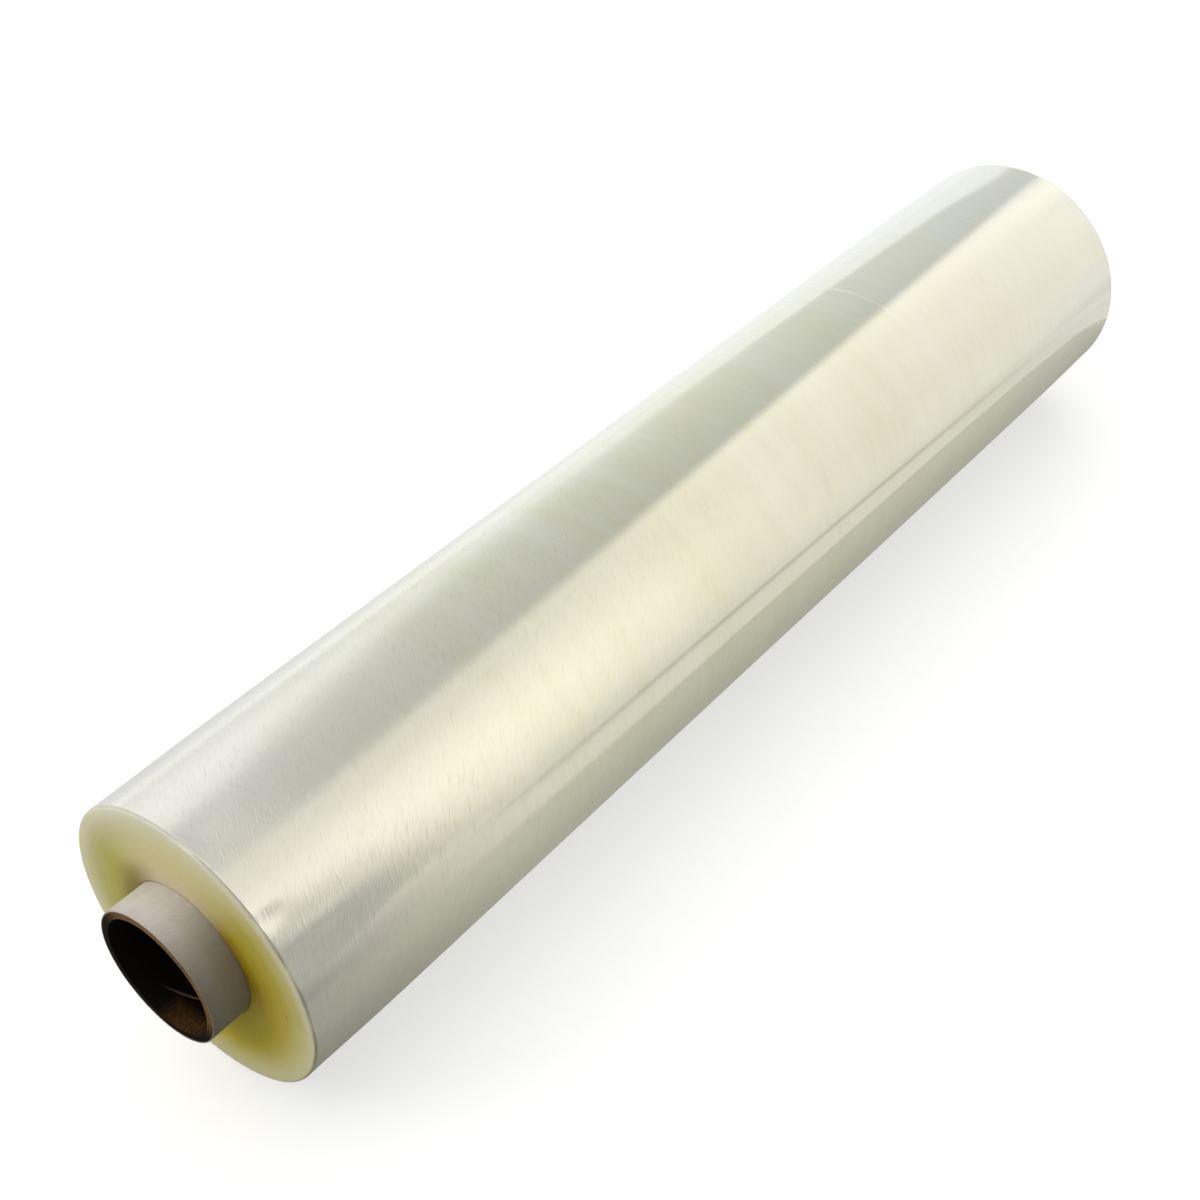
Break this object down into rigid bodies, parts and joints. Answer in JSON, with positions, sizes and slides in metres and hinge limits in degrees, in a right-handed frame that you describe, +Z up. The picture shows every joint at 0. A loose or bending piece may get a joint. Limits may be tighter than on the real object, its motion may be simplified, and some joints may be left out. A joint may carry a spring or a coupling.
{
  "type": "roll of lidding film",
  "caption": "Wide roll of clear tray-lidding film wound on a paper core that sticks out at both ends, lying on its side on a small flat spot.",
  "frame": {"origin": "on the surface that the roll lies on, below the middle of the roll", "axes": "+X along the core, +Y to the back as the roll is seen, +Z up"},
  "size_m": [0.465, 0.093, 0.0927],
  "materials": {
    "lidding_film": "clear glossy film in many turns, silvery cream",
    "brown_board": "bare brown core board",
    "white_paper": "matt off-white paper"
  },
  "bodies": {
    "root": {"film_roll": "lidding_film", "core_tube": "brown_board", "core_outer_ply": "white_paper"}
  },
  "joints": []
}
